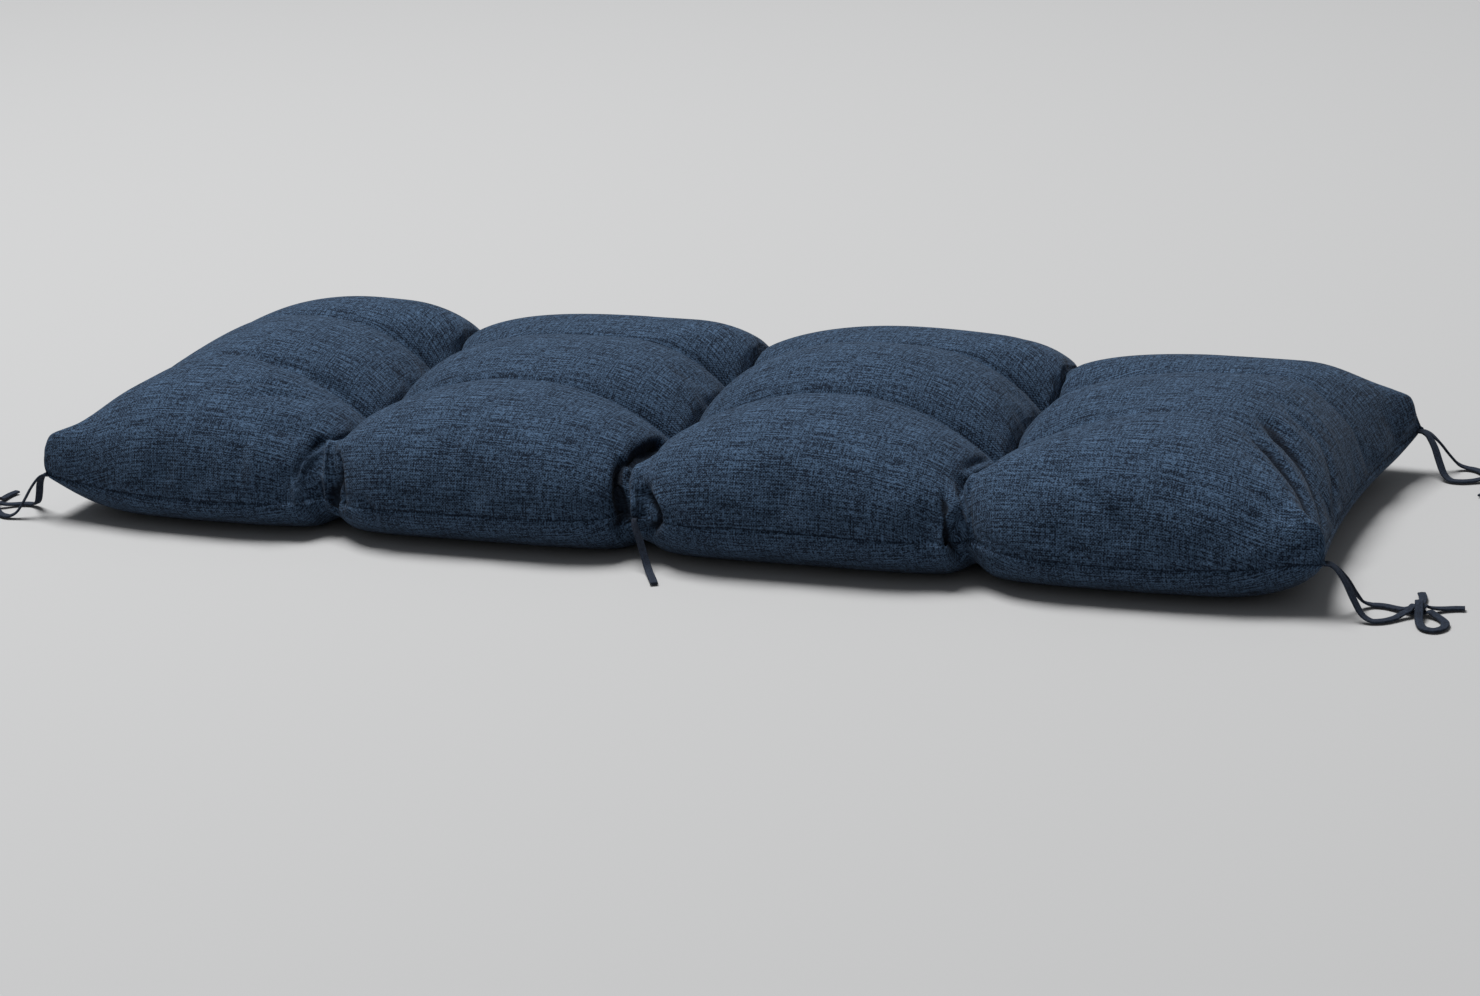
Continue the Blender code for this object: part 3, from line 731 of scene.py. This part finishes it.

# %% [markdown]
# ## The folds
# The simulation gives soft, even swelling. The folds that give this pad its character are added one
# by one: each is a short line on the surface with its own width and depth, pressed in along the
# normals as a trough, or raised as a ridge. Each line was picked in a picture. The points below were
# then worked out by another program, which cast rays through that line at the pad without its folds,
# so this table is its output and not a list of chosen sizes. Sculpting would make the folds with a
# brush. A sum of the troughs' depths, a little wider than the troughs, is kept as well, and the
# weave's colour is darkened by it as painted shade at the bottom of the deep folds.

# %% Folds
FOLDS = (
    # in millimetres: half width, depth (below 0 is a trough), side, where it starts on the surface,
    # and its steps from there
    # the pinch in front of the first line of tufts
    (6, -6, 0, (-382, -201, 95), (-8, -9, -14), (-4, -11, -11), (-1, -6, -11)),
    (4, -15, 0, (-361, -209, 96), (6, -10, -12), (3, -6, -14), (1, -3, -16), (-1, 3, -20)),
    (5, -15, 0, (-356, -218, 81), (-4, -1, -13), (-5, 1, -16), (-1, 0, -13), (-5, 12, -15)),
    (5, 4, 0, (-379, -212, 71), (-6, -2, -11), (-4, -5, -10)),
    (5, 1, 0, (-372, -201, 102), (1, -8, -11), (0, -6, -14)),
    (5, -7, 0, (-321, -240, 59), (9, -2, -8), (6, 0, -12), (0, 9, -17)),
    (5, 3, 0, (-311, -242, 59), (9, 0, -15), (5, 6, -19)),
    # of the second line
    (8, -24, -1, (-17, -108, 95), (2, -22, 3), (-2, -20, 2), (-3, -20, 0), (-2, -20, -5)),
    (6, -22, -1, (-30, -186, 105), (3, -17, -12), (3, -11, -16), (2, -3, -19), (0, 3, -23)),
    (5.5, -19, 0, (0, -213, 83), (7, -7, -10), (8, -8, -8), (6, -4, -8), (-7, 5, -13), (-12, 10, -11)),
    (5, 4, 0, (-10, -209, 90), (2, -11, -15), (3, -5, -17), (1, 3, -19)),
    (5, 5, 0, (14, -221, 86), (12, -11, -10), (6, -4, -11), (-3, 2, -15)),
    (4, -8, 0, (-32, -224, 48), (3, 4, -12), (3, 11, -13)),
    (4, 5, 0, (-38, -227, 51), (4, 4, -16), (4, 11, -13)),
    # of the third line
    (4.5, -8, -1, (345, -94, 97), (-1, -35, 10), (-3, -22, 2), (-2, -14, -3)),
    (4.5, -9, -1, (338, -170, 104), (6, -15, -9), (10, -15, -9), (11, -13, -8), (8, -10, -9)),
    (5, -15, 0, (330, -206, 101), (4, -14, -11), (5, -10, -17), (4, 6, -25), (5, 17, -21)),
    (6, 6, 0, (334, -184, 102), (9, -25, -10), (7, -4, -20), (4, 3, -19), (9, -4, -15)),
    (5, 5, 0, (323, -209, 101), (4, -15, -16), (5, -10, -17)),
    # wrinkles of the first column
    (8, -4, 0, (-459, -73, 136), (19, 2, -8), (19, -1, -12), (13, 0, -9)),
    (5, -5, 0, (-535, -162, 146), (36, 21, 0), (30, 14, -4), (29, 4, -7), (30, 4, -13)),
    (5, 3, 0, (-517, -172, 143), (28, 18, 0), (29, 14, -3), (28, 3, -8)),
    (5, -4.5, 0, (-492, -181, 138), (24, 24, 2), (21, 12, -4), (29, 3, -9)),
    (7, -4, 0, (-534, -75, 151), (34, 1, -3), (32, 0, -10)),
    (9, -4.5, 0, (-468, -218, 111), (-1, -12, -15), (2, -9, -17), (2, -6, -33)),
    (8, 4, 0, (-453, -218, 107), (2, -14, -18), (3, -10, -31)),
    (9, -4, 0, (-451, -201, 120), (23, 3, -6), (22, 6, -8)),
    (9, -3, 0, (-526, -220, 114), (19, -17, -27), (11, -7, -27)),
    # of the fourth column
    (8, -4.5, 0, (477, -215, 118), (18, -12, -12), (18, -9, -16), (22, -6, -19)),
    (8, 3.5, 0, (491, -212, 122), (20, -14, -15), (20, -9, -16)),
    (8, -3.5, 0, (570, -189, 134), (11, -18, -12), (6, -17, -17)),
    (8, -3, 0, (433, -189, 129), (19, -18, -7), (25, -8, -4)),
    (9, -4, 0, (449, -51, 142), (30, 9, 6), (42, 2, 1)),
    # of the third and second column's fronts
    (9, -3.5, 0, (139, -227, 114), (21, -11, -18), (12, -7, -27)),
    (9, -3.5, 0, (249, -165, 144), (23, -38, -18), (7, -30, -32)),
    (9, -3.5, 0, (-204, -193, 137), (-8, -31, -24), (-2, -18, -35)),
    (9, -3.5, 0, (-87, -168, 136), (25, -34, -21), (8, -29, -34)),
    # gathers at the right end
    (7, -15, 0, (600, -83, 142), (27, -16, -8), (23, -14, -11), (20, -13, -13), (16, -12, -14),
     (12, -17, -12), (10, -21, -4), (7, -29, -6)),
    (4.5, 5, 0, (616, -81, 138), (29, -17, -12), (22, -10, -14), (17, -9, -16), (13, -13, -17),
     (11, -20, -11), (7, -35, -6)),
    (7.5, -16, 0, (614, -53, 142), (29, -14, -13), (24, -7, -16), (17, -12, -18), (12, -18, -18),
     (13, -33, -19), (7, -35, -4)),
    (4.5, 5, 0, (625, -33, 140), (24, -6, -11), (21, 0, -16), (16, -8, -20), (10, -21, -22),
     (12, -40, -16), (8, -42, -5)),
    (5.5, -11, 0, (622, -1, 143), (28, -7, -13), (21, 1, -16), (15, -11, -22), (10, -22, -24),
     (11, -45, -16), (9, -40, -7)),
    (4.5, -7, 0, (657, -124, 119), (19, -13, -14), (14, -18, -12), (19, -59, 3)),
    (4.5, -6, 0, (602, -130, 140), (26, -8, -8), (27, -19, -13), (22, -20, -14), (21, -33, -7)),
    (5, 5, 0, (646, 30, 133), (23, -2, -18), (18, -5, -23), (9, -24, -24)),
    (8, -4.5, 0, (599, -9, 148), (25, 17, -5), (24, 13, -11)),
    (7, -5.5, 0, (607, -53, 143), (26, 3, -7), (23, -3, -13)),
    (5, 6, 0, (631, -151, 130), (26, -17, -14), (24, -18, -13), (20, -27, -6), (11, -6, -7)),
    (6, -6, 0, (624, -180, 127), (25, -13, -13), (23, -14, -13), (17, -12, -8)),
    # the third column's back corner, and the edge of the first pinch
    (20, 9, -1, (262, 215, 128), (29, 4, -8), (32, 1, -11), (28, -4, -13)),
    (5.5, -11, -1, (-390, -180, 100), (-2, -15, -4), (-4, -17, -8)),
)
TROUGH_POWER, RIDGE_POWER = 1.5, 2.0  # a trough is sharper at its bottom than a ridge at its top
FOLD_STEPS = 8  # steps between two points of a fold
FOLD_REACH = 3  # half widths after which a fold has faded out
FADE_POWER = 0.6  # below 1 a fold keeps its depth until close to its ends
SHADE_SPREAD = 1.4  # the painted shade of a fold is this much wider than the fold


def press_folds(points, normals, sides):
    """Move each point along its normal by depth * e^-(distance / width)^power, fading at both ends.
    A fold with a side presses only the wall left (-1) or right (1) of a valley. The painted shade is the
    same sum with power 2 for the troughs alone, a little wider than they are."""
    moved, shade = points.copy(), np.zeros(len(points))
    for width, depth, side, *route in FOLDS:
        width, depth = width / 1000, depth / 1000
        path = smooth_path(np.cumsum(route, axis=0) / 1000, FOLD_STEPS, lowest=0.0)
        reach = FOLD_REACH * width
        near = np.all((points > path.min(0) - reach) & (points < path.max(0) + reach), axis=1)
        near &= (side == 0) | (sides == side)
        here = points[near]
        start, step = path[:-1], np.diff(path, axis=0)
        part = np.einsum("nmk,mk->nm", here[:, None] - start, step) / (step ** 2).sum(1)
        part = np.clip(part, 0, 1)
        gap = np.linalg.norm(here[:, None] - start - part[..., None] * step, axis=2)
        best = gap.argmin(axis=1)
        rows = np.arange(len(here))
        gone = (best + part[rows, best]) / len(step)
        fade = np.sin(math.pi * np.clip(gone, 0, 1)) ** FADE_POWER
        power = TROUGH_POWER if depth < 0 else RIDGE_POWER
        moved[near] += normals[near] * (depth * bump(gap[rows, best], width, power) * fade)[:, None]
        shade[near] += max(-depth, 0.0) * bump(gap[rows, best], width * SHADE_SPREAD) * fade
    return moved, shade


SEAM_GROOVE, SEAM_GROOVE_WIDTH = 0.0020, 0.0024
pad_points = vectors(pad.data.vertices, "co")
pad_normals = set_points(pad.data, pad_points)
wall_sides = np.sign(past_nearest(place[:, 0], place[:, 1]))
pad_points, painted_fold_shade = press_folds(pad_points, pad_normals, wall_sides)
# painted shade for the deep folds, kept as an attribute for the weave's colour
pad.data.attributes.new("painted_fold_shade", "FLOAT", "POINT").data.foreach_set("value", painted_fold_shade)
pad_points -= pad_normals * (SEAM_GROOVE * bump(place[:, 2], SEAM_GROOVE_WIDTH))[:, None]
pad_points[:, 2] = np.maximum(pad_points[:, 2], 0.0)
set_points(pad.data, pad_points)
print(len(FOLDS), "folds, the deepest place", round(painted_fold_shade.max() * 1000, 1), "mm in")

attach(pad, "root")
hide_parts("cushion")

# %% [markdown]
# ## Writing materials as sums
# A material is a network of nodes. Written one by one the nodes hide the idea, so one small class
# wraps a socket: adding or multiplying two of them adds the Math node and returns its result. Wiring
# the nodes in the shader editor gives the same network, but it can't be read as a formula.

# %% Shader maths
class Amount:
    """A number in a material. Sums, differences and products of Amounts add Math nodes."""

    def __init__(self, finish, socket):
        self.finish, self.socket = finish, socket

    def math(self, operation, *others):
        """The result of one Math node."""
        inputs = dict(enumerate((self.socket, *others)))
        node = self.finish.add("ShaderNodeMath", {"operation": operation}, inputs)
        return Amount(self.finish, node.outputs[0])

    def __add__(self, other): return self.math("ADD", other)
    def __mul__(self, other): return self.math("MULTIPLY", other)
    def __sub__(self, other): return self.math("SUBTRACT", other)
    def __rsub__(self, other): return (self * -1).math("ADD", other)
    __radd__, __rmul__ = __add__, __mul__

    def sine(self): return self.math("SINE")
    def size(self): return self.math("ABSOLUTE")
    def smooth(self, low, high):
        """0 below low, 1 above high and a smooth step between."""
        node = self.finish.add("ShaderNodeMapRange", {"interpolation_type": "SMOOTHSTEP"},
                               {"Value": self, "From Min": low, "From Max": high})
        return Amount(self.finish, node.outputs[0])


class Finish:
    """A material under construction, with one method that adds any node."""

    def __init__(self, name):
        self.material = bpy.data.materials.new(name)
        self.material.use_nodes = True
        self.tree = self.material.node_tree
        self.shader = self.tree.nodes["Principled BSDF"]

    def add(self, kind, settings=None, inputs=None):
        """A node of this kind: first its settings, then the values or links of its sockets."""
        node = self.tree.nodes.new(kind)
        for name, value in (settings or {}).items():
            setattr(node, name, value)
        for name, value in (inputs or {}).items():
            self.set(node, name, value)
        return node

    def set(self, node, name, value):
        """Link a socket or set its value."""
        value = value.socket if isinstance(value, Amount) else value
        if isinstance(value, bpy.types.NodeSocket):
            self.tree.links.new(value, node.inputs[name])
        else:
            node.inputs[name].default_value = value

    def parts(self, vector):
        """The three numbers of a vector."""
        node = self.add("ShaderNodeSeparateXYZ", None, {0: vector})
        return [Amount(self, socket) for socket in node.outputs]

    def cloth(self):
        """The two lengths of cloth, in metres, from the UV map."""
        return self.parts(self.add("ShaderNodeUVMap", {"uv_map": "cloth"}).outputs[0])[:2]

    def past_seam(self):
        """The length of cloth from the closing seam, the third number of the pad's place."""
        node = self.add("ShaderNodeAttribute", {"attribute_name": "place"})
        return self.parts(node.outputs["Vector"])[2]

    def painted_fold_shade(self):
        """The painted shade of the folds: the troughs' depths summed a little wider than the troughs, in
        metres.
        """
        node = self.add("ShaderNodeAttribute", {"attribute_name": "painted_fold_shade"})
        return Amount(self, node.outputs["Fac"])

    def noise(self, x, y, detail=2.0):
        """Noise on a plane, from about 0.2 to 0.8 and 0.5 in the mean."""
        where = self.add("ShaderNodeCombineXYZ", None, {0: x, 1: y})
        inputs = {"Vector": where.outputs[0], "Scale": 1.0, "Detail": detail, "Roughness": 0.5}
        node = self.add("ShaderNodeTexNoise", {"noise_dimensions": "2D"}, inputs)
        return Amount(self, node.outputs["Fac"])

    def blend(self, factor, first, second):
        """A colour between two others."""
        node = self.add("ShaderNodeMix", {"data_type": "RGBA", "clamp_factor": True},
                        {0: factor, 6: first, 7: second})
        return node.outputs[2]

    def surface(self, colour, height, strength, distance, values):
        """The finished material: its colour, its relief and the values that don't vary."""
        relief = self.add("ShaderNodeBump", None,
                          {"Strength": strength, "Distance": distance, "Height": height})
        inputs = {"Base Color": colour, "Normal": relief.outputs[0], **values}
        for name, value in inputs.items():
            self.set(self.shader, name, value)
        print(self.material.name, "is made of", len(self.tree.nodes), "nodes")
        return self.material

# %% [markdown]
# ### Navy weave
# The cloth is a plain weave of threads that are not evenly dyed. Seen close, each thread passes over
# and under its neighbours. From a step away the eye sees streaks in both directions of the weave:
# short ones of a few millimetres, and slubs, thicker bits of thread, of a few centimetres. So there
# are three scales here. A painted image would fix one scale for good. Two places get painted shade
# in the weave's colour: the closing seam and the bottoms of the deep folds.

# %% Colours and scales of the weave
DARK_THREAD = (0.0034, 0.0085, 0.0190, 1.0)
LIGHT_THREAD = (0.0630, 0.1110, 0.1860, 1.0)
PAINTED_SHADE_COLOUR = (0.0020, 0.0036, 0.0078, 1.0)  # painted shade for the bottom of a deep fold, where no light comes back
THREAD = 0.00165  # width of a thread
WARP_STREAK, WEFT_STREAK = 0.0040, 0.0058  # length of a streak along each set of threads
SLUB_ACROSS, WARP_SLUB, WEFT_SLUB, CLOUD = 620.0, 34.0, 24.0, 9.0  # so many in a metre of cloth
APART = (37.0, 11.0, 5.0, 3.0)  # moves each pattern away from the others
OVER_LEAST = 0.25  # the upper thread never hides more than 1 - this of the lower
THREAD_TONE, WARP_TONE, WEFT_TONE, CLOUD_TONE = 2.5, 0.6, 0.9, 0.06
CROSSING_TONE, MEAN_TONE = 0.20, 0.36
THREAD_RELIEF, SLUB_RELIEF, CROSSING_RELIEF = 2.0, 0.6, 0.5
WEAVE_BUMP = 0.55, 0.0005  # strength and height of the relief
SEAM_LINE, SEAM_SHADE, SEAM_SHADE_TONE = 0.0003, 0.0014, 0.30  # painted shade of the line where the panels meet
FOLD_SHADE_FROM, FOLD_SHADE_TO, FOLD_SHADE = 0.005, 0.010, 0.86  # depths of the painted fold shade, and its share at the second

# %% Navy weave
def navy_weave():
    """Tone = gains * (streaks, slubs, clouds, each less 0.5) + crossings + mean - painted seam shade."""
    finish = Finish("navy_weave")
    along, deep = finish.cloth()
    across_count, deep_count = along * (1 / THREAD), deep * (1 / THREAD)
    warp = finish.noise(across_count, deep * (1 / WARP_STREAK), 1.0)
    weft = finish.noise(along * (1 / WEFT_STREAK), deep_count + APART[0], 1.0)
    crossing = (across_count * math.pi).sine() * (deep_count * math.pi).sine()
    over = crossing.smooth(-0.5, 0.5) * (1 - 2 * OVER_LEAST) + OVER_LEAST
    thread = warp * over + weft * (1 - over)
    slub_warp = finish.noise(along * SLUB_ACROSS + APART[1], deep * WARP_SLUB, 0.0)
    slub_weft = finish.noise(along * WEFT_SLUB, deep * SLUB_ACROSS + APART[2], 0.0)
    cloud = finish.noise(along * CLOUD, deep * CLOUD + APART[3], 2.0)
    tone = (thread - 0.5) * THREAD_TONE + (slub_warp - 0.5) * WARP_TONE + (slub_weft - 0.5) * WEFT_TONE
    tone = tone + (cloud - 0.5) * CLOUD_TONE
    # painted shade along the closing seam
    seam = (1 - finish.past_seam().size().smooth(SEAM_LINE, SEAM_SHADE)) * SEAM_SHADE_TONE
    factor = tone + crossing * CROSSING_TONE + MEAN_TONE - seam
    colour = finish.blend(factor, DARK_THREAD, LIGHT_THREAD)
    # painted shade at the bottoms of the deep folds
    fold = finish.painted_fold_shade().smooth(FOLD_SHADE_FROM, FOLD_SHADE_TO) * FOLD_SHADE
    colour = finish.blend(fold, colour, PAINTED_SHADE_COLOUR)
    height = crossing * CROSSING_RELIEF + (thread - 0.5) * THREAD_RELIEF
    height = height + (slub_warp + slub_weft) * SLUB_RELIEF
    return finish.surface(colour, height, *WEAVE_BUMP, {
        "Roughness": 0.92, "Sheen Weight": 0.03, "Sheen Roughness": 0.5, "Specular IOR Level": 0.14})


pad.data.materials.append(navy_weave())

# %% [markdown]
# ### Tie cloth
# The ties are folded from a finer strip, darker than the pad, and a row of stitches runs along each
# edge. Separate stitches in thread could be modelled, but they are half a millimetre wide, so lighter
# dashes that stand up a little are enough at any distance.

# %% Tie cloth
TIE_DARK = (0.0060, 0.0090, 0.0170, 1.0)
TIE_LIGHT = (0.0260, 0.0380, 0.0620, 1.0)
TIE_WARP, TIE_WEFT = (250.0, 1500.0), (1300.0, 300.0)  # in a metre, along and across the band
TIE_TONE, TIE_MEAN, STITCH_TONE = 1.6, 0.35, 0.6
THREADS_RELIEF, STITCH_RELIEF, TIE_BUMP = 0.6, 0.8, (0.6, 0.0004)
STITCH_LENGTH, STITCH_GAP, STITCH_HALF = 0.0030, (0.35, 0.6), (0.0002, 0.0005)


def tie_cloth():
    """Two noises of thread, and dashes of |sine| on the two lines STITCH_INSET from the edges."""
    finish = Finish("tie_cloth")
    along, across = finish.cloth()
    threads = finish.noise(along * TIE_WARP[0], across * TIE_WARP[1], 2.0)
    threads = threads + finish.noise(along * TIE_WEFT[0], across * TIE_WEFT[1])
    row = (across.size() - BAND_WIDTH * (0.5 - STITCH_INSET)).size()
    dash = (along * (math.pi / STITCH_LENGTH)).sine().size().smooth(*STITCH_GAP)
    stitch = dash * (1 - row.smooth(*STITCH_HALF))
    colour = finish.blend((threads - 1.0) * TIE_TONE + TIE_MEAN, TIE_DARK, TIE_LIGHT)
    colour = finish.blend(stitch * STITCH_TONE, colour, TIE_LIGHT)
    height = threads * THREADS_RELIEF + stitch * STITCH_RELIEF
    return finish.surface(colour, height, *TIE_BUMP, {
        "Roughness": 0.9, "Specular IOR Level": 0.25})


tie_material = tie_cloth()
for tie in ties:
    tie.data.materials.append(tie_material)

# %% [markdown]
# ## Floor and light
# A pale floor and one broad, soft light overhead show the form by its slow shading. A dim, even sky
# keeps the hollows from going black. A picture of real surroundings would light it as well, but its
# colours would tint the cloth.

# %% Floor
FLOOR_HALF, FLOOR_GREY, FLOOR_DROP = 20, 0.42, 0.0004
sides = ((-1, -1), (1, -1), (1, 1), (-1, 1))
floor_corners = [(x * FLOOR_HALF, y * FLOOR_HALF, -FLOOR_DROP) for x, y in sides]
floor_piece = new_piece("floor", floor_corners, [(0, 1, 2, 3)])
floor_finish = Finish("pale_floor")
floor_finish.set(floor_finish.shader, "Base Color", (FLOOR_GREY, FLOOR_GREY, FLOOR_GREY, 1.0))
floor_finish.set(floor_finish.shader, "Roughness", 0.9)
floor_piece.data.materials.append(floor_finish.material)
print("a floor", 2 * FLOOR_HALF, "m wide")

# %% Light
LAMP_PLACE, LAMP_SIZE, LAMP_POWER = (-2.2, 0.9, 8.4), 4.3, 1060
SKY_COLOUR, SKY_STRENGTH = (0.93, 0.96, 1.0, 1.0), 0.20

lamp = bpy.data.objects.new("overhead", bpy.data.lights.new("overhead", "AREA"))
lamp.data.shape, lamp.data.size, lamp.data.energy = "SQUARE", LAMP_SIZE, LAMP_POWER
lamp.location = LAMP_PLACE
lamp.rotation_euler = (-Vector(LAMP_PLACE)).to_track_quat("-Z", "Y").to_euler()  # aimed at the origin
scene.collection.objects.link(lamp)

scene.world = bpy.data.worlds.new("even_sky")
scene.world.use_nodes = True
sky = scene.world.node_tree.nodes["Background"]
sky.inputs["Color"].default_value, sky.inputs["Strength"].default_value = SKY_COLOUR, SKY_STRENGTH
scene.view_settings.view_transform = "Standard"
print("a lamp of", LAMP_POWER, "W and", LAMP_SIZE, "m at", LAMP_PLACE)
